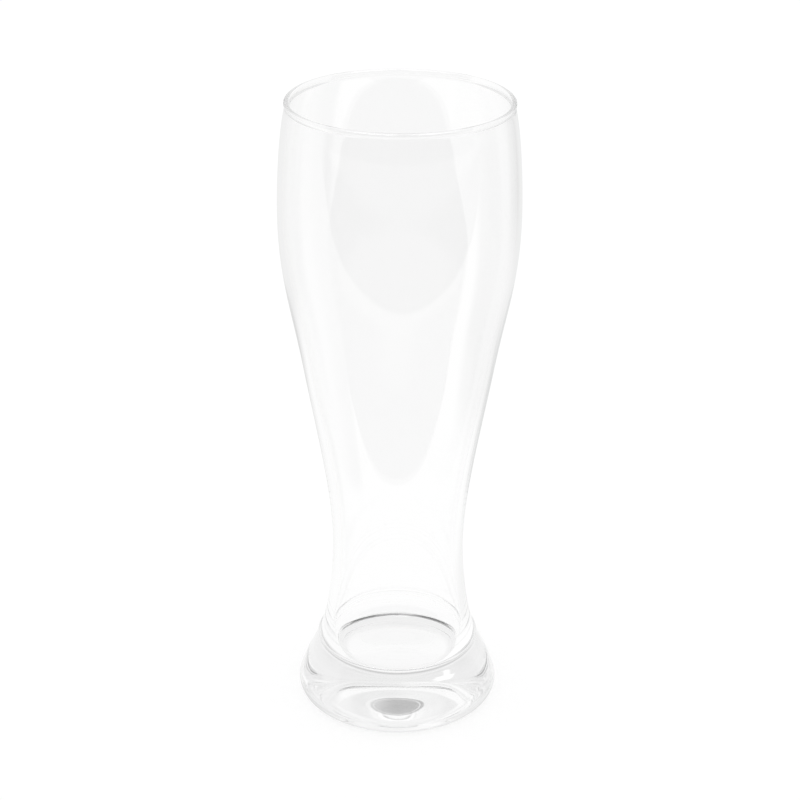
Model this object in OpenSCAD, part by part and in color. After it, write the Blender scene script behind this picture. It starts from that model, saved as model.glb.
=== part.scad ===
// Weizen glass, empty: a tall blown bowl fused hot to a heavy pressed foot.
// Millimetres, Z up. The foot stands on Z = 0 and the glass is round about the Z axis.

/* [Overall] */
// Height of the glass, from the table to the top of the rim
glass_h = 235; // [190:1:280]

/* [Rim] */
// Outside diameter of the rolled rim
rim_d = 80.2; // [76:0.2:84]
// Thickness of the rolled rim
rim_bead_d = 1.9; // [1.6:0.1:2.6]
// How far the rim stands proud of the wall outside, just under it
rim_proud = 0.2; // [0.1:0.1:0.4]
// Height of the hollow under the rim, where the rim runs out into the wall
rim_neck_h = 1; // [0.6:0.1:2]
// How far the wall under the rim leans out for each millimetre down
rim_lean = 0.23; // [0.1:0.01:0.3]

/* [Bowl] */
// Outside diameter of the belly, the widest place
belly_d = 86; // [83:0.2:92]
// Height of the belly above the seam, as a share of the bowl's height
belly_share = 0.805; // [0.75:0.005:0.86]
// Outside diameter of the straight taper below the belly, half way down it
taper_d = 70; // [66:0.2:74]
// Height of that place on the taper above the seam, as a share of the bowl's height
taper_share = 0.536; // [0.48:0.001:0.6]
// How far the taper draws in for each millimetre down
taper_draw = 0.17; // [0.12:0.01:0.22]
// Outside diameter of the waist, the narrowest place
waist_d = 49; // [45:0.2:54]
// Height of the waist above the seam, as a share of the bowl's height
waist_share = 0.182; // [0.14:0.001:0.25]
// Thickness of the wall from the rim to the belly
wall_t = 1.7; // [1.4:0.1:2]
// Thickness of the wall at the waist
waist_wall_t = 2.8; // [2:0.1:4]
// How far the wall leans out for each millimetre down, where it meets the foot
flare_lean = 0.6; // [0.3:0.02:0.8]

/* [Bottom of the bowl] */
// Inside diameter of the bowl at its floor
cavity_d = 50.8; // [46:0.2:52]
// Height of the edge of the bowl's floor above the table
floor_z = 16.4; // [15:0.1:19]
// Depth of the dish in the middle of the floor
floor_dish = 0.4; // [0.1:0.1:1]
// Radius of the round corner between the floor and the wall, inside
floor_corner_r = 6.5; // [4:0.1:8]
// Thickness of the glass under the floor of the bowl
floor_t = 3.2; // [2.5:0.1:4.5]
// Thickness of the wall of the bowl where it sits in the foot
cup_wall_t = 2.4; // [2:0.1:2.8]
// Radius of the round corner of the bowl where it sits in the foot
cup_corner_r = 4.5; // [3:0.1:6]

/* [Foot] */
// Diameter of the seam, where the bowl meets the foot outside
seam_d = 59.8; // [58.6:0.2:64]
// Height of the seam above the table
seam_z = 24.8; // [23:0.1:28]
// Radius of the round edge at the top of the foot, beside the seam
lip_r = 0.6; // [0.3:0.1:1]
// How far the side of the foot leans out for each millimetre down, just under that edge
shoulder_lean = 0.1; // [0:0.02:0.4]
// Diameter of the foot at its widest
foot_d = 75.8; // [72:0.2:82]
// Width of the round edge at the bottom of the foot
foot_edge_w = 4.4; // [3:0.1:6]
// Height of the round edge at the bottom of the foot, up to the widest place
foot_edge_h = 4.8; // [3:0.1:7]
// Diameter of the hollow under the foot
punt_d = 52; // [44:0.5:58]
// Height of the hollow under the foot, in the middle
punt_h = 3.4; // [1:0.1:5]

/* [Hidden] */

// Steps in a long curve, in a round corner and in a full turn
curve_steps = 24;
corner_steps = 8;
turn_steps = 128;

// Where the two handles of each curve lie, as shares of its height
neck_to_belly_shares = [0.24, 0.31];
belly_to_taper_shares = [0.41, 0.37];
taper_to_waist_shares = [0.36, 0.28];
waist_to_seam_shares = [0.43, 0.09];
waist_to_floor_shares = [0.5, 0.25];
lip_to_foot_shares = [0.2, 0.21];
rim_hollow_share = 0.4;

// Where the two handles of each curve lie, as shares of its width
floor_shares = [0.4, 0.5];
punt_shares = [0.4, 0.4];

// Handle of a curve that follows a quarter of a circle, as a share of its radius
quarter_share = 0.5523;

// Angle below the middle of the rim at which it runs out into the wall
rim_turn = 35;
quarter_turn = 90;
half_turn = 180;

bead_r = rim_bead_d / 2;
bead_centre = [rim_d / 2 - bead_r, glass_h - bead_r];
neck = [rim_d / 2 - rim_proud, glass_h - rim_bead_d - rim_neck_h];
bowl_h = glass_h - seam_z;
belly = [belly_d / 2, seam_z + bowl_h * belly_share];
taper = [taper_d / 2, seam_z + bowl_h * taper_share];
waist = [waist_d / 2, seam_z + bowl_h * waist_share];
seam = [seam_d / 2, seam_z];

neck_in = neck - [wall_t, 0];
belly_in = belly - [wall_t, 0];
taper_in = taper - [(wall_t + waist_wall_t) / 2, 0];
waist_in = waist - [waist_wall_t, 0];
cavity_r = cavity_d / 2;
floor_corner = [cavity_r - floor_corner_r, floor_z + floor_corner_r];
floor_edge = [floor_corner.x, floor_z];
floor_middle = [0, floor_z - floor_dish];

cup_r = cavity_r + cup_wall_t;
cup_z = floor_middle.y - floor_t;
cup_corner = [cup_r - cup_corner_r, cup_z + cup_corner_r];

lip_centre = seam - [0, lip_r];
lip_end = lip_centre + [lip_r, 0];
foot_widest = [foot_d / 2, foot_edge_h];
foot_base = [foot_widest.x - foot_edge_w, 0];
punt_edge = [punt_d / 2, 0];
punt_middle = [0, punt_h];

// Points of a cubic curve, without its start
function curve(start, start_handle, end_handle, end, steps = curve_steps) = [
    for (i = [1 : steps])
        let (t = i / steps, u = 1 - t)
            u^3 * start + 3 * u^2 * t * start_handle + 3 * u * t^2 * end_handle + t^3 * end
];

// Points of a round corner, without its start
function arc(centre, radius, from, to, steps = corner_steps) = [
    for (i = [1 : steps])
        centre + radius * along(from + (to - from) * i / steps)
];

// One step in the direction of an angle
function along(angle) = [cos(angle), sin(angle)];

// Points of a wall going down from one place to a lower one, without its start
function wall(upper, lower, shares, upper_lean = 0, lower_lean = 0) =
    let (h = upper.y - lower.y)
        curve(
            upper,
            upper + h * shares[0] * [upper_lean, -1],
            lower + h * shares[1] * [-lower_lean, 1],
            lower
        );

function reversed(points) = [for (i = [len(points) - 1 : -1 : 0]) points[i]];

// Underside of the bowl and socket of the foot, from the axis up to the land at the seam
function cup_points() = concat(
    [[0, cup_z], [cup_corner.x, cup_z]],
    arc(cup_corner, cup_corner_r, -quarter_turn, 0),
    [[cup_r, seam.y]]
);

// Outside of the bowl, from the seam up to the rim
function outside_points() = reversed(concat(
    [neck],
    wall(neck, belly, neck_to_belly_shares, upper_lean = rim_lean),
    wall(belly, taper, belly_to_taper_shares, lower_lean = -taper_draw),
    wall(taper, waist, taper_to_waist_shares, upper_lean = -taper_draw),
    wall(waist, seam, waist_to_seam_shares, lower_lean = flare_lean)
));

// Rolled rim, from the wall outside over the top to the wall inside
function rim_points() =
    let (
        outer_end = bead_centre + bead_r * along(-rim_turn),
        inner_end = bead_centre + bead_r * along(half_turn + rim_turn),
        handle = (outer_end.y - neck.y) * rim_hollow_share
    )
        concat(
            curve(neck, neck + handle * [-rim_lean, 1],
                outer_end - handle * along(quarter_turn - rim_turn), outer_end, corner_steps),
            arc(bead_centre, bead_r, -rim_turn, half_turn + rim_turn, 2 * corner_steps),
            curve(inner_end, inner_end - handle * along(quarter_turn + rim_turn),
                neck_in + handle * [-rim_lean, 1], neck_in, corner_steps)
        );

// Inside of the bowl, from the rim down to the middle of the floor
function inside_points() = concat(
    wall(neck_in, belly_in, neck_to_belly_shares, upper_lean = rim_lean),
    wall(belly_in, taper_in, belly_to_taper_shares, lower_lean = -taper_draw),
    wall(taper_in, waist_in, taper_to_waist_shares, upper_lean = -taper_draw),
    wall(waist_in, [cavity_r, floor_corner.y], waist_to_floor_shares),
    arc(floor_corner, floor_corner_r, 0, -quarter_turn),
    curve(floor_edge, floor_edge - [floor_edge.x * floor_shares[0], 0],
        floor_middle + [floor_edge.x * floor_shares[1], 0], floor_middle)
);

// Outside of the foot, from the seam down to the middle of the hollow under it
function foot_points() = concat(
    [seam],
    arc(lip_centre, lip_r, quarter_turn, 0),
    wall(lip_end, foot_widest, lip_to_foot_shares, upper_lean = shoulder_lean),
    curve(foot_widest, foot_widest - [0, foot_edge_h * quarter_share],
        foot_base + [foot_edge_w * quarter_share, 0], foot_base, corner_steps),
    [punt_edge],
    curve(punt_edge, punt_edge + [-punt_edge.x, punt_h] * punt_shares[0],
        punt_middle + [punt_edge.x * punt_shares[1], 0], punt_middle)
);

// Blown bowl with its rolled rim; its bottom is the cup that is fused into the foot
module bowl() {
    color([0.92, 0.95, 0.95, 0.35])
        rotate_extrude($fn = turn_steps)
            polygon(concat(cup_points(), outside_points(), rim_points(), inside_points()));
}

// Heavy pressed foot with a socket for the bowl and a shallow hollow under it
module foot() {
    color([0.9, 0.93, 0.93, 0.4])
        rotate_extrude($fn = turn_steps)
            polygon(concat(cup_points(), foot_points()));
}

bowl();
foot();
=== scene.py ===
import math

import bmesh
import bpy
from mathutils import Matrix


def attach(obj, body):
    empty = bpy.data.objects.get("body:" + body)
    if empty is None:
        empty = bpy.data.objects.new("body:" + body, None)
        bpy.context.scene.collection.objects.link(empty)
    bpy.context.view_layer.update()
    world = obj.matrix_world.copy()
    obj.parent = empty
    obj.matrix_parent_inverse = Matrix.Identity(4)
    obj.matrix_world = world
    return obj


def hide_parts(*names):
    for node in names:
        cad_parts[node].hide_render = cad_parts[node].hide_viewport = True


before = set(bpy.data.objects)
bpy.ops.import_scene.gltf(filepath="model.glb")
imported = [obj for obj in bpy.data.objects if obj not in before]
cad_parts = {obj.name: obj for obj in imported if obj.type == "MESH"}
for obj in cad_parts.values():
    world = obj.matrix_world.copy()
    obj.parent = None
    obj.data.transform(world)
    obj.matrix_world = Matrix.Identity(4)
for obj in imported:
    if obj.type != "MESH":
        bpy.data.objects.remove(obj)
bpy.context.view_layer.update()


# Bowl
# The tall upper part of the glass is one blown piece of clear soda-lime glass. Its edge is melted
# into a round bead at the rim, and its closed bottom is fused hot into the foot, with no joint left
# to see inside the glass.

# Sizes are in millimetres, and a place on the profile is given as its radius and its height
mm = 0.001

glass_height = 235
rim_diameter = 80.2
rim_bead = 1.9
rim_proud = 0.2
rim_hollow = 1.0
rim_lean = 0.23
rim_turn = 35

seam = (29.9, 24.8)
bowl_height = glass_height - seam[1]
neck = (rim_diameter / 2 - rim_proud, glass_height - rim_bead - rim_hollow)
belly = (43.0, seam[1] + 0.805 * bowl_height)
taper = (35.0, seam[1] + 0.536 * bowl_height)
waist = (24.5, seam[1] + 0.182 * bowl_height)
taper_draw = 0.17
flare_lean = 0.6

wall_upper = 1.7
wall_waist = 2.8
cavity_radius = 25.4
floor_height = 16.4
floor_dish = 0.4
floor_corner = 6.5
floor_thickness = 3.2
cup_wall = 2.4
cup_corner = 4.5

# Where the two handles of each curve lie, as shares of its height, or of its width on the floor
neck_to_belly = (0.24, 0.31)
belly_to_taper = (0.41, 0.37)
taper_to_waist = (0.36, 0.28)
waist_to_seam = (0.43, 0.09)
waist_to_floor = (0.5, 0.25)
floor_shares = (0.4, 0.5)
hollow_share = 0.4


def between(start, end, share):
    return tuple(a + (b - a) * share for a, b in zip(start, end))


def line(start, end):
    """A straight stretch of a profile."""
    return [(start, between(start, end, 1 / 3), between(start, end, 2 / 3), end)]


def wall(upper, lower, shares, upper_lean=0.0, lower_lean=0.0):
    """One curve of the wall going down; a lean is how far it goes out for each millimetre down."""
    height = upper[1] - lower[1]
    return [(
        upper,
        (upper[0] + height * shares[0] * upper_lean, upper[1] - height * shares[0]),
        (lower[0] - height * shares[1] * lower_lean, lower[1] + height * shares[1]),
        lower,
    )]


def arc(centre, radius, start, end):
    """A round corner, in pieces of at most a quarter turn."""
    pieces = math.ceil(abs(end - start) / 90)
    step = math.radians(end - start) / pieces
    pull = 4 / 3 * math.tan(step / 4) * radius
    out = []
    for i in range(pieces):
        a, b = math.radians(start) + i * step, math.radians(start) + (i + 1) * step
        pa = (centre[0] + radius * math.cos(a), centre[1] + radius * math.sin(a))
        pb = (centre[0] + radius * math.cos(b), centre[1] + radius * math.sin(b))
        out.append((
            pa,
            (pa[0] - pull * math.sin(a), pa[1] + pull * math.cos(a)),
            (pb[0] + pull * math.sin(b), pb[1] - pull * math.cos(b)),
            pb,
        ))
    return out


def side(neck, belly, taper, waist):
    """The wall from the rim down to the waist, outside or inside."""
    return (
        wall(neck, belly, neck_to_belly, upper_lean=rim_lean)
        + wall(belly, taper, belly_to_taper, lower_lean=-taper_draw)
        + wall(taper, waist, taper_to_waist, upper_lean=-taper_draw)
    )


def upwards(curves):
    """The same curves run through from their lower end."""
    return [tuple(reversed(curve)) for curve in reversed(curves)]


def inset(point, thickness):
    return (point[0] - thickness, point[1])


# The face where the bowl is fused to the foot, from the axis out to the seam
cup_radius = cavity_radius + cup_wall
cup_bottom = floor_height - floor_dish - floor_thickness
cup_turn = (cup_radius - cup_corner, cup_bottom + cup_corner)
fused_curves = (
    line((0, cup_bottom), (cup_turn[0], cup_bottom))
    + arc(cup_turn, cup_corner, -90, 0)
    + line((cup_radius, cup_turn[1]), (cup_radius, seam[1]))
    + line((cup_radius, seam[1]), seam)
)

# The free surface of the bowl, from the seam up to the rim and down inside to the middle of the floor
bead = rim_bead / 2
bead_centre = (rim_diameter / 2 - bead, glass_height - bead)
bead_over = arc(bead_centre, bead, -rim_turn, 180 + rim_turn)
outer_end, inner_end = bead_over[0][0], bead_over[-1][3]
hollow_pull = hollow_share * (outer_end[1] - neck[1])
turn_x, turn_y = math.sin(math.radians(rim_turn)), math.cos(math.radians(rim_turn))
neck_inside = inset(neck, wall_upper)
belly_inside = inset(belly, wall_upper)
taper_inside = inset(taper, (wall_upper + wall_waist) / 2)
waist_inside = inset(waist, wall_waist)
floor_turn = (cavity_radius - floor_corner, floor_height + floor_corner)
floor_edge = (floor_turn[0], floor_height)
floor_middle = (0, floor_height - floor_dish)

bowl_curves = (
    upwards(side(neck, belly, taper, waist) + wall(waist, seam, waist_to_seam, lower_lean=flare_lean))
    + [(
        neck,
        (neck[0] - hollow_pull * rim_lean, neck[1] + hollow_pull),
        (outer_end[0] - hollow_pull * turn_x, outer_end[1] - hollow_pull * turn_y),
        outer_end,
    )]
    + bead_over
    + [(
        inner_end,
        (inner_end[0] + hollow_pull * turn_x, inner_end[1] - hollow_pull * turn_y),
        (neck_inside[0] - hollow_pull * rim_lean, neck_inside[1] + hollow_pull),
        neck_inside,
    )]
    + side(neck_inside, belly_inside, taper_inside, waist_inside)
    + wall(waist_inside, (cavity_radius, floor_turn[1]), waist_to_floor)
    + arc(floor_turn, floor_corner, 0, -90)
    + [(
        floor_edge,
        (floor_edge[0] * (1 - floor_shares[0]), floor_height),
        (floor_edge[0] * floor_shares[1], floor_middle[1]),
        floor_middle,
    )]
)

# The profile is swept round a thin spindle on the axis
spindle = 1 * mm
steps_around = 320
weld_distance = 0.002 * mm
crease_angle = 12


def outline(name, curves, steps):
    """A profile of the glass as a Bezier curve, drawn flat: X is the radius and Y runs down."""

    def place(point):
        return (point[0] * mm - spindle, -point[1] * mm, 0)

    data = bpy.data.curves.new(name, "CURVE")
    data.dimensions = "3D"
    data.resolution_u = steps
    spline = data.splines.new("BEZIER")
    spline.resolution_u = steps
    spline.bezier_points.add(len(curves))
    for i, point in enumerate(spline.bezier_points):
        before, after = curves[max(i - 1, 0)], curves[min(i, len(curves) - 1)]
        point.handle_left_type = point.handle_right_type = "FREE"
        point.co = place(before[3] if i else after[0])
        point.handle_left = place(before[2] if i else after[0])
        point.handle_right = place(after[1] if i < len(curves) else before[3])
    obj = bpy.data.objects.new(name, data)
    bpy.context.scene.collection.objects.link(obj)
    return obj


def node(tree, kind, **values):
    made = tree.nodes.new(kind)
    for key, value in values.items():
        setattr(made, key, value)
    return made


def wire(tree, start, end):
    tree.links.new(start, end)


# Geometry Nodes turn the two outlines of a piece round its axis: the free surface of the glass, and the
# face where the pieces are fused
turning = bpy.data.node_groups.new("turned_glass", "GeometryNodeTree")
sockets = {
    name: turning.interface.new_socket(name, in_out="INPUT", socket_type=kind)
    for name, kind in (
        ("Outline", "NodeSocketGeometry"),
        ("Fused outline", "NodeSocketObject"),
        ("Steps around", "NodeSocketInt"),
        ("Spindle", "NodeSocketFloat"),
        ("Glass", "NodeSocketMaterial"),
        ("Fused glass", "NodeSocketMaterial"),
    )
}
turning.interface.new_socket("Piece", in_out="OUTPUT", socket_type="NodeSocketGeometry")

given = node(turning, "NodeGroupInput")
spindle_ring = node(turning, "GeometryNodeCurvePrimitiveCircle")
wire(turning, given.outputs["Steps around"], spindle_ring.inputs["Resolution"])
wire(turning, given.outputs["Spindle"], spindle_ring.inputs["Radius"])
fused_source = node(turning, "GeometryNodeObjectInfo")
wire(turning, given.outputs["Fused outline"], fused_source.inputs["Object"])
free_sweep = node(turning, "GeometryNodeCurveToMesh")
fused_sweep = node(turning, "GeometryNodeCurveToMesh")
for sweep, source in (
    (free_sweep, given.outputs["Outline"]),
    (fused_sweep, fused_source.outputs["Geometry"]),
):
    wire(turning, spindle_ring.outputs["Curve"], sweep.inputs["Curve"])
    wire(turning, source, sweep.inputs["Profile Curve"])
fused_mark = node(turning, "GeometryNodeStoreNamedAttribute", data_type="BOOLEAN", domain="FACE")
fused_mark.inputs["Name"].default_value = "fused"
fused_mark.inputs["Value"].default_value = True
wire(turning, fused_sweep.outputs["Mesh"], fused_mark.inputs["Geometry"])
together = node(turning, "GeometryNodeJoinGeometry")
wire(turning, fused_mark.outputs["Geometry"], together.inputs["Geometry"])
wire(turning, free_sweep.outputs["Mesh"], together.inputs["Geometry"])
welded = node(turning, "GeometryNodeMergeByDistance")
welded.inputs["Distance"].default_value = weld_distance
wire(turning, together.outputs["Geometry"], welded.inputs["Geometry"])
smooth = node(turning, "GeometryNodeSetShadeSmooth")
wire(turning, welded.outputs["Geometry"], smooth.inputs["Geometry"])
real = node(turning, "GeometryNodeRealizeInstances")
wire(turning, smooth.outputs["Geometry"], real.inputs["Geometry"])
glass_all = node(turning, "GeometryNodeSetMaterial")
wire(turning, real.outputs["Geometry"], glass_all.inputs["Geometry"])
wire(turning, given.outputs["Glass"], glass_all.inputs["Material"])
fused_faces = node(turning, "GeometryNodeInputNamedAttribute", data_type="BOOLEAN")
fused_faces.inputs["Name"].default_value = "fused"
glass_fused = node(turning, "GeometryNodeSetMaterial")
wire(turning, glass_all.outputs["Geometry"], glass_fused.inputs["Geometry"])
wire(turning, fused_faces.outputs["Attribute"], glass_fused.inputs["Selection"])
wire(turning, given.outputs["Fused glass"], glass_fused.inputs["Material"])
made_piece = node(turning, "NodeGroupOutput")
wire(turning, glass_fused.outputs["Geometry"], made_piece.inputs["Piece"])


def turned(name, free_outline, glass):
    """One piece of the glass as a closed mesh, with its crisp edges kept crisp."""
    maker = free_outline.modifiers.new("turning", "NODES")
    maker.node_group = turning
    for key, value in (
        ("Fused outline", fused_outline),
        ("Steps around", steps_around),
        ("Spindle", spindle),
        ("Glass", glass),
        ("Fused glass", fused_glass),
    ):
        maker[sockets[key].identifier] = value
    bpy.context.view_layer.update()
    ready = free_outline.evaluated_get(bpy.context.evaluated_depsgraph_get())
    mesh = bpy.data.meshes.new_from_object(ready)
    free_outline.modifiers.remove(maker)
    bpy.data.objects.remove(free_outline)
    work = bmesh.new()
    work.from_mesh(mesh)
    bmesh.ops.recalc_face_normals(work, faces=work.faces)
    work.to_mesh(mesh)
    work.free()
    mesh.set_sharp_from_angle(angle=math.radians(crease_angle))
    mesh.attributes.remove(mesh.attributes["fused"])
    mesh.name = name
    obj = bpy.data.objects.new(name, mesh)
    bpy.context.scene.collection.objects.link(obj)
    return obj


# Slow waves that blowing and pressing leave in the surface of the glass
waves = bpy.data.node_groups.new("glass_waves", "ShaderNodeTree")
for name in ("Coarse", "Stretch"):
    waves.interface.new_socket(name, in_out="INPUT", socket_type="NodeSocketFloat")
waves.interface.new_socket("Height", in_out="OUTPUT", socket_type="NodeSocketFloat")
waves_in, waves_out = node(waves, "NodeGroupInput"), node(waves, "NodeGroupOutput")
where = node(waves, "ShaderNodeTexCoord")
stretch = node(waves, "ShaderNodeCombineXYZ")
stretch.inputs["X"].default_value = stretch.inputs["Y"].default_value = 1
wire(waves, waves_in.outputs["Stretch"], stretch.inputs["Z"])
stretched_place = node(waves, "ShaderNodeVectorMath", operation="MULTIPLY")
wire(waves, where.outputs["Object"], stretched_place.inputs[0])
wire(waves, stretch.outputs["Vector"], stretched_place.inputs[1])
ripple = node(waves, "ShaderNodeTexNoise")
ripple.inputs["Detail"].default_value = 1
wire(waves, stretched_place.outputs["Vector"], ripple.inputs["Vector"])
wire(waves, waves_in.outputs["Coarse"], ripple.inputs["Scale"])
wire(waves, ripple.outputs["Fac"], waves_out.inputs["Height"])

# Index of refraction of soda-lime glass
glass_index = 1.52


def clear_glass(name, colour, coarse, stretch_up, depth):
    """Clear glass with waves of a depth in millimetres."""
    made = bpy.data.materials.new(name)
    made.use_nodes = True
    tree = made.node_tree
    shader = tree.nodes["Principled BSDF"]
    shader.inputs["Base Color"].default_value = (*colour, 1)
    shader.inputs["Roughness"].default_value = 0
    shader.inputs["IOR"].default_value = glass_index
    shader.inputs["Transmission Weight"].default_value = 1
    surface = node(tree, "ShaderNodeGroup", node_tree=waves)
    surface.inputs["Coarse"].default_value = coarse
    surface.inputs["Stretch"].default_value = stretch_up
    bump = node(tree, "ShaderNodeBump")
    bump.inputs["Strength"].default_value = 1
    bump.inputs["Distance"].default_value = depth * mm
    wire(tree, surface.outputs["Height"], bump.inputs["Height"])
    wire(tree, bump.outputs["Normal"], shader.inputs["Normal"])
    return made


bowl_glass = clear_glass("bowl_glass", colour=(1, 1, 1), coarse=25, stretch_up=0.35, depth=0.05)

# Where bowl and foot are fused the glass runs on, so nothing shows there
fused_glass = bpy.data.materials.new("fused_glass")
fused_glass.use_nodes = True
fused_shader = fused_glass.node_tree.nodes["Principled BSDF"]
fused_shader.inputs["Base Color"].default_value = (1, 1, 1, 1)
fused_shader.inputs["Alpha"].default_value = 0

fused_outline = outline("fused_outline", fused_curves, steps=12)
bowl = turned("bowl_blown", outline("bowl_outline", bowl_curves, steps=14), bowl_glass)
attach(bowl, "root")
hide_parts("bowl")


# Foot
# The base is a thick solid of clear glass, pressed in a mould round the bottom of the bowl. Its side
# is rounded, its bottom edge is fire-polished, and a shallow hollow underneath leaves a flat ring.

foot_widest = (37.9, 4.8)
foot_base = (33.5, 0)
lip = 0.6
shoulder_lean = 0.1
punt_edge = (26.0, 0)
punt_height = 3.4
lip_to_foot = (0.2, 0.21)
punt_shares = (0.4, 0.4)

# Handle of a curve that follows a quarter of a circle, as a share of its radius
quarter = 0.5523

foot_curves = (
    arc((seam[0], seam[1] - lip), lip, 90, 0)
    + wall((seam[0] + lip, seam[1] - lip), foot_widest, lip_to_foot, upper_lean=shoulder_lean)
    + [(
        foot_widest,
        (foot_widest[0], foot_widest[1] * (1 - quarter)),
        (foot_base[0] + (foot_widest[0] - foot_base[0]) * quarter, 0),
        foot_base,
    )]
    + line(foot_base, punt_edge)
    + [(
        punt_edge,
        (punt_edge[0] * (1 - punt_shares[0]), punt_height * punt_shares[0]),
        (punt_edge[0] * punt_shares[1], punt_height),
        (0, punt_height),
    )]
)
foot_glass = clear_glass("foot_glass", colour=(0.985, 0.985, 0.985), coarse=50, stretch_up=1.5, depth=0.12)
foot = turned("foot_pressed", outline("foot_outline", foot_curves, steps=20), foot_glass)
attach(foot, "root")
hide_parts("foot")
bpy.data.objects.remove(fused_outline)


# Camera
# It looks down on the glass from the front and a little above the rim, with a long lens, and is
# turned by a third of a degree, as the photograph is.

camera_place = (0.5 * mm, -669.4 * mm, 431.4 * mm)
camera_pitch = math.radians(24.84)
camera_roll = math.radians(0.32)
camera_data = bpy.data.cameras.new("camera")
camera_data.sensor_width = 36
camera_data.lens = 90.67
camera = bpy.data.objects.new("camera", camera_data)
bpy.context.scene.collection.objects.link(camera)
camera.matrix_world = (
    Matrix.Translation(camera_place)
    @ Matrix.Rotation(math.pi / 2 - camera_pitch, 4, "X")
    @ Matrix.Rotation(camera_roll, 4, "Z")
)
bpy.context.scene.camera = camera


# Floor
# A plain white sheet under the glass, lit evenly. The camera sees it white, with the soft shadow of the
# glass. Rays from the glass see it glow with painted levels instead: in these painted reflections it ends
# at arm's length, and a painted ground of the room goes on from there.

floor_radius = 4
floor_sides = 96
floor_drop = 0.1 * mm
paper_grey = (0.15, 0.15, 0.15, 1)
paper_glow = 0.87

floor_mesh = bpy.data.meshes.new("floor")
work = bmesh.new()
bmesh.ops.create_circle(work, cap_ends=True, segments=floor_sides, radius=floor_radius)
bmesh.ops.translate(work, verts=work.verts, vec=(0, 0, -floor_drop))
work.to_mesh(floor_mesh)
work.free()
floor = bpy.data.objects.new("floor", floor_mesh)
bpy.context.scene.collection.objects.link(floor)

# The room round the sheet, as far as reflections show it: painted reflections, in levels that only rays
# from the glass see. Bearings run in degrees from the left over the front to the right and the back, and
# heights from the horizon at 0 to straight up at 1. A ramp is a row of places with the level at each
room = bpy.data.node_groups.new("painted_room_reflections", "ShaderNodeTree")
room.interface.new_socket("Place", in_out="INPUT", socket_type="NodeSocketVector")
for name in (
    "Walls", "Inside the foot", "Along the wall", "Through the bowl", "Past its floor",
    "Ground", "Front ground", "Right ground", "Back ground",
):
    room.interface.new_socket(name, in_out="OUTPUT", socket_type="NodeSocketFloat")
room_in, room_out = node(room, "NodeGroupInput"), node(room, "NodeGroupOutput")
bearing = node(room, "ShaderNodeTexGradient", gradient_type="RADIAL")
wire(room, room_in.outputs["Place"], bearing.inputs["Vector"])
axes = node(room, "ShaderNodeSeparateXYZ")
wire(room, room_in.outputs["Place"], axes.inputs[0])


def levels(tree, source, places):
    """A ramp through the levels given at places from 0 to 1."""
    made = node(tree, "ShaderNodeValToRGB")
    stops = made.color_ramp.elements
    stops.remove(stops[1])
    for i, (place, level) in enumerate(places):
        stop = stops.new(place) if i else stops[0]
        stop.position = place
        stop.color = (level, level, level, 1)
    wire(tree, source, made.inputs["Fac"])
    return made.outputs["Color"]


def ring(places):
    """A ramp over the bearings."""
    return levels(room, bearing.outputs["Fac"], [(angle / 360, level) for angle, level in places])


def rise(places):
    """A ramp over the heights."""
    return levels(room, axes.outputs["Z"], places)


def both(tree, first, second):
    made = node(tree, "ShaderNodeMath", operation="MULTIPLY")
    wire(tree, first, made.inputs[0])
    wire(tree, second, made.inputs[1])
    return made.outputs[0]


def over(tree, below, mask, level):
    """One level laid over another where a mask is 1."""
    made = node(tree, "ShaderNodeMix", data_type="FLOAT")
    wire(tree, mask, made.inputs["Factor"])
    for socket, value in ((made.inputs["A"], below), (made.inputs["B"], level)):
        if isinstance(value, bpy.types.NodeSocket):
            wire(tree, value, socket)
        else:
            socket.default_value = value
    return made.outputs["Result"]


def fields(level, *laid_over):
    """A level with soft-edged fields laid over it, each between bearings and between heights."""
    for bearings, heights, field_level in laid_over:
        level = over(room, level, both(room, ring(bearings), rise(heights)), field_level)
    return level


all_round = ((0, 1),)
front = ((10, 0), (16, 1), (164, 1), (170, 0))
wall_ring = (
    (0, 1), (165, 1), (172, 0.6), (200, 0.7), (225, 0.8), (245, 0.85), (342, 0.85), (352, 1),
)


def walls(ceiling, *laid_over):
    """The painted walls under a painted ceiling, with painted darkness of the room at the front, and more
    fields over them.
    """
    return fields(
        ring(wall_ring),
        (all_round, ((0.28, 0), (0.34, 1)), ceiling),
        (front, ((0.9, 1), (0.96, 0)), 0.5),
        (front, ((0.16, 0), (0.2, 1), (0.9, 1), (0.96, 0)), 0.1),
        *laid_over,
    )


# Painted highlights: two light boxes high at the front, and a lamp with crossed arms at the back, drawn
# only where the glass mirrors the room, so they light nothing
painted_highlight_boxes = (
    ((14, 0), (24, 1), (78, 1), (86, 0), (112, 0), (120, 1), (160, 1), (170, 0)),
    ((0.7, 0), (0.78, 1)),
    4,
)
painted_glint_level = 1.15
painted_glint_upright = (
    ((282.8, 0), (283.5, 1), (285.3, 1), (286, 0)),
    ((0.25, 0), (0.31, 1), (0.68, 1), (0.72, 0)),
    painted_glint_level,
)
painted_glint_crossbar = (
    ((280.5, 0), (281.5, 1), (288.5, 1), (289.5, 0)),
    ((0.47, 0), (0.5, 1), (0.6, 1), (0.63, 0)),
    painted_glint_level,
)
wire(room, walls(0.88, painted_highlight_boxes, painted_glint_upright, painted_glint_crossbar), room_out.inputs["Walls"])

# A painted dark card low at the back, a painted reflection that only shows through the bowl
painted_dark_card = (((254, 0), (257, 1), (271.5, 1), (279.5, 0)), ((0.28, 1), (0.34, 0)), 0.42)
wire(room, walls(0.95, painted_dark_card), room_out.inputs["Through the bowl"])
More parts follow.
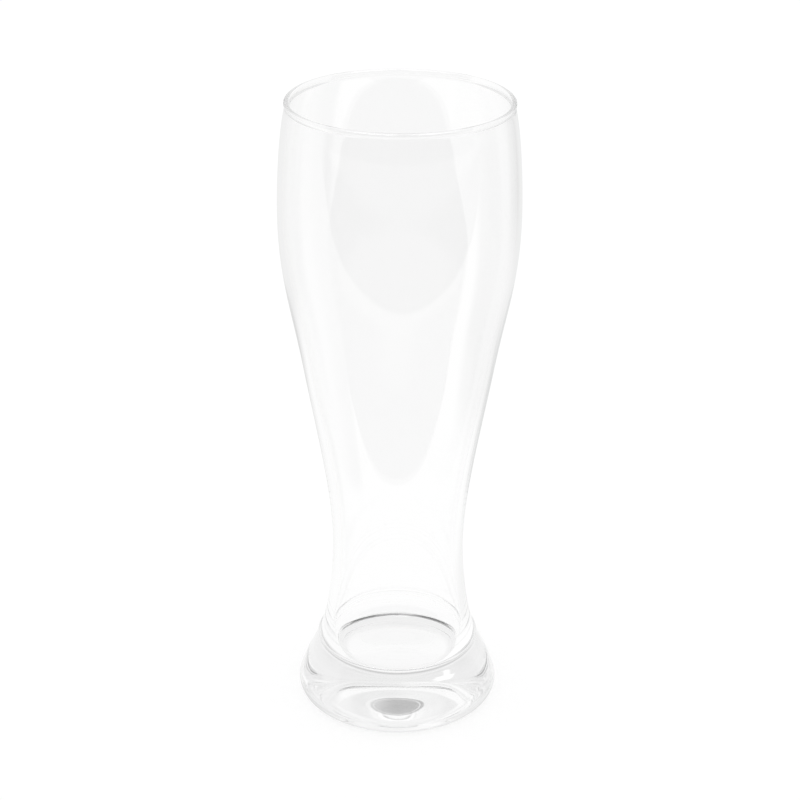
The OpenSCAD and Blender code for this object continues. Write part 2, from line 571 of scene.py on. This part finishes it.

# Painted reflections inside the foot: the walls are pale there, with dimmer fields at the right, the left,
# the back and the front
inside_foot = fields(
    rise(((0.1, 0.82), (0.2, 0.87), (0.32, 0.95), (0.68, 0.95), (0.76, 1.02))),
    (((180, 0), (190, 1), (238, 1), (244, 0)), ((0.5, 0), (0.6, 1)), 0.9),
    (((310, 0), (325, 1), (350, 1), (356, 0)), ((0.12, 1), (0.28, 0)), 0.72),
    (((266, 0), (273, 1), (282, 1), (292, 0)), ((0.36, 0), (0.42, 1), (0.66, 1), (0.74, 0)), 0.9),
    (front, ((0.55, 1), (0.65, 0)), 0.5),
)
wire(room, inside_foot, room_out.inputs["Inside the foot"])
# Painted levels for light led along inside the wall, and for rays past the floor of the bowl, dark at the
# front
wire(room, rise(((0.55, 0.65), (0.7, 1))), room_out.inputs["Along the wall"])
past_floor = fields(rise(((0, 0.95),)), (front, ((0.61, 1), (0.66, 0)), 0.05))
wire(room, past_floor, room_out.inputs["Past its floor"])

# The painted ground all round, and where it has its own painted levels; only reflections show it
ground_rings = {
    "Ground": (
        (0, 1), (163, 1), (170, 0.45), (180, 0.5), (192, 0.65), (198, 0.8),
        (211, 0.85), (216, 0.68), (228, 0.72), (242, 0.86), (342, 0.9), (352, 1),
    ),
    "Front ground": ((10, 0), (16, 1), (168, 1), (174, 0)),
    "Right ground": ((205, 0), (211, 1), (234, 1), (242, 0)),
    "Back ground": (
        (234, 0), (240, 1), (254, 1), (262, 0), (282, 0), (288, 0.5), (298, 0.5), (304, 0),
    ),
}
for name, places in ground_rings.items():
    wire(room, ring(places), room_out.inputs[name])


def by_path(tree, path, kind, level, *steps):
    """A level, and another from each step's number of bounces of a kind on."""
    for count, other in steps:
        reached = node(tree, "ShaderNodeMath", operation="GREATER_THAN")
        wire(tree, path.outputs[kind], reached.inputs[0])
        reached.inputs[1].default_value = count - 0.5
        level = over(tree, level, reached.outputs[0], other)
    return level


sheet = bpy.data.materials.new("white_sheet")
sheet.use_nodes = True
tree = sheet.node_tree
tree.nodes.clear()
path = node(tree, "ShaderNodeLightPath")
spot = node(tree, "ShaderNodeNewGeometry")
round_room = node(tree, "ShaderNodeGroup", node_tree=room)
wire(tree, spot.outputs["Position"], round_room.inputs["Place"])
across = node(tree, "ShaderNodeSeparateXYZ")
wire(tree, spot.outputs["Position"], across.inputs[0])

# Distances on the sheet: from the axis of the glass, from the middle of the sheet, and to the front
axis_distance = node(tree, "ShaderNodeVectorMath", operation="LENGTH")
wire(tree, spot.outputs["Position"], axis_distance.inputs[0])
from_axis = axis_distance.outputs["Value"]
sheet_middle = (-60 * mm, 0, 0)
middle_distance = node(tree, "ShaderNodeVectorMath", operation="DISTANCE")
middle_distance.inputs[1].default_value = sheet_middle
wire(tree, spot.outputs["Position"], middle_distance.inputs[0])
from_middle = middle_distance.outputs["Value"]

# The way to the front is turned a little to the right, and halved so that a ramp can hold two metres
front_scale = 0.5
front_turn = 0.06
front_distance = node(tree, "ShaderNodeVectorMath", operation="DOT_PRODUCT")
front_distance.inputs[1].default_value = (front_turn * front_scale, -front_scale, 0)
wire(tree, spot.outputs["Position"], front_distance.inputs[0])
to_front = front_distance.outputs["Value"]


def reach(source, *places):
    """A ramp over a distance on the sheet, with places in millimetres."""
    return levels(tree, source, [(place * mm, level) for place, level in places])


def ahead(*places):
    """A ramp over the distance to the front, which is scaled to end within 1."""
    return reach(to_front, *[(place * front_scale, level) for place, level in places])


# The sheet as it shows through the glass without a reflection, with a painted shade round the foot
shade = reach(from_axis, (24, 0.98), (28, 0.88), (40, 0.86), (43, 1))

# The sheet near the glass, by the number of reflections on the way, with painted shade and painted light:
# dark and bright rings and fields round the foot that only the glass shows, for the dark line under the
# crease, the bright line and dark sides of the foot and the dark arc at the floor of the bowl. A ray that
# the glass bent four times or more counts as seen through the bowl, and any other as seen through the foot
foot_ground_painted_shade = by_path(
    tree, path, "Glossy Depth", reach(from_axis, (26, 0.88), (29, 0.6), (37, 0.6), (41, 1)),
    (2, both(
        tree,
        reach(from_axis, (37, 1.04), (39, 0.9), (40.5, 0.9), (42, 1)),
        reach(across.outputs["X"], (0, 0.95), (4, 1.03)),
    )),
    (3, reach(across.outputs["X"], (0, 0.9), (3, 1.02))),
    (4, reach(across.outputs["Y"], (24, 1), (27, 0.35), (32, 0.35), (33.5, 1.1))),
    (5, 1),
)
bowl_ground_painted_shade = by_path(tree, path, "Glossy Depth", 1, (3, reach(across.outputs["Y"], (0, 0.05), (5, 1))))
ground_level = by_path(tree, path, "Transmission Depth", foot_ground_painted_shade, (4, bowl_ground_painted_shade))

# The painted ground past the end of the sheet, paler at the right up to about half a metre
right_near = both(tree, reach(from_middle, (400, 1), (700, 0)), round_room.outputs["Right ground"])
room_ground = over(tree, round_room.outputs["Ground"], right_near, 0.92)
sheet_end = reach(from_middle, (220, 0), (280, 1))
ground_level = over(tree, ground_level, sheet_end, room_ground)

# Painted dimmer bands at the back and at the right: painted reflections which show in the edges of the
# bowl
back_reach = reach(from_middle, (80, 0), (100, 0.45), (170, 0.45), (200, 1), (300, 1), (350, 0))
back_painted_band = both(tree, back_reach, round_room.outputs["Back ground"])
ground_level = over(tree, ground_level, back_painted_band, 0.7)
right_reach = reach(from_middle, (100, 0), (115, 1), (160, 1), (175, 0))
right_painted_band = both(tree, right_reach, round_room.outputs["Right ground"])
ground_level = over(tree, ground_level, right_painted_band, 0.92)

# The painted dim ground at the front, a painted reflection. Where it begins and how dim it is depend on
# how often the glass bent a ray
front_edge = by_path(
    tree, path, "Transmission Depth", ahead((252, 0), (266, 1)),
    (2, ahead((236, 0), (246, 1))),
    (4, ahead((212, 0), (222, 1))),
)
front_level = by_path(
    tree, path, "Transmission Depth", ahead((450, 0.75), (600, 0.49), (720, 0.52), (900, 0.7)),
    (2, ahead((430, 0.2), (600, 0.49), (720, 0.52), (900, 0.7))),
    (4, ahead((1500, 0.2), (2000, 0.45))),
)
front_ground = both(tree, front_edge, round_room.outputs["Front ground"])
ground_level = over(tree, ground_level, front_ground, front_level)

# Rays from the glass see these painted levels, as a painted glow of the sheet; the camera itself sees
# the lit sheet
sheet_seen = by_path(tree, path, "Glossy Depth", shade, (1, ground_level), (41, 0.9))
painted_glow_for_glass = node(tree, "ShaderNodeEmission")
wire(tree, sheet_seen, painted_glow_for_glass.inputs["Strength"])
paper = node(tree, "ShaderNodeBsdfDiffuse")
paper.inputs["Color"].default_value = paper_grey
glow = node(tree, "ShaderNodeEmission")
glow.inputs["Strength"].default_value = paper_glow
lit_paper = node(tree, "ShaderNodeAddShader")
wire(tree, paper.outputs[0], lit_paper.inputs[0])
wire(tree, glow.outputs[0], lit_paper.inputs[1])
seen = node(tree, "ShaderNodeMixShader")
wire(tree, path.outputs["Is Camera Ray"], seen.inputs[0])
wire(tree, painted_glow_for_glass.outputs[0], seen.inputs[1])
wire(tree, lit_paper.outputs[0], seen.inputs[2])
out = node(tree, "ShaderNodeOutputMaterial")
wire(tree, seen.outputs[0], out.inputs["Surface"])
floor_mesh.materials.append(sheet)


# Light
# A white studio with soft, even light from all round. Reflections show a painted pale ceiling, walls, two
# light boxes and the dim front of the room. Which of them a ray sees depends on how often the glass bent
# or mirrored it, so these are painted reflections, and the light boxes are painted highlights.

world = bpy.data.worlds.new("studio")
world.use_nodes = True
bpy.context.scene.world = world
studio = world.node_tree
studio_path = node(studio, "ShaderNodeLightPath")
outwards = node(studio, "ShaderNodeTexCoord")
studio_room = node(studio, "ShaderNodeGroup", node_tree=room)
wire(studio, outwards.outputs["Generated"], studio_room.inputs["Place"])

foot_view = by_path(
    studio, studio_path, "Glossy Depth", 1,
    (1, studio_room.outputs["Walls"]),
    (2, studio_room.outputs["Inside the foot"]),
    (25, studio_room.outputs["Along the wall"]),
    (126, 0.85),
)
bowl_view = by_path(
    studio, studio_path, "Glossy Depth", 1,
    (1, studio_room.outputs["Through the bowl"]),
    (2, 0.95),
    (4, studio_room.outputs["Past its floor"]),
    (5, 0.7),
)
studio_seen = by_path(studio, studio_path, "Transmission Depth", foot_view, (4, bowl_view))
background = studio.nodes["Background"]
background.inputs["Color"].default_value = (1, 1, 1, 1)
wire(studio, studio_seen, background.inputs["Strength"])

# Light that is led along inside the wall can be mirrored hundreds of times
most_bounces = 512
scene = bpy.context.scene
scene.view_settings.view_transform = "Standard"
scene.cycles.max_bounces = most_bounces
scene.cycles.transmission_bounces = most_bounces
scene.cycles.glossy_bounces = most_bounces
scene.cycles.transparent_max_bounces = most_bounces
scene.cycles.use_denoising = True
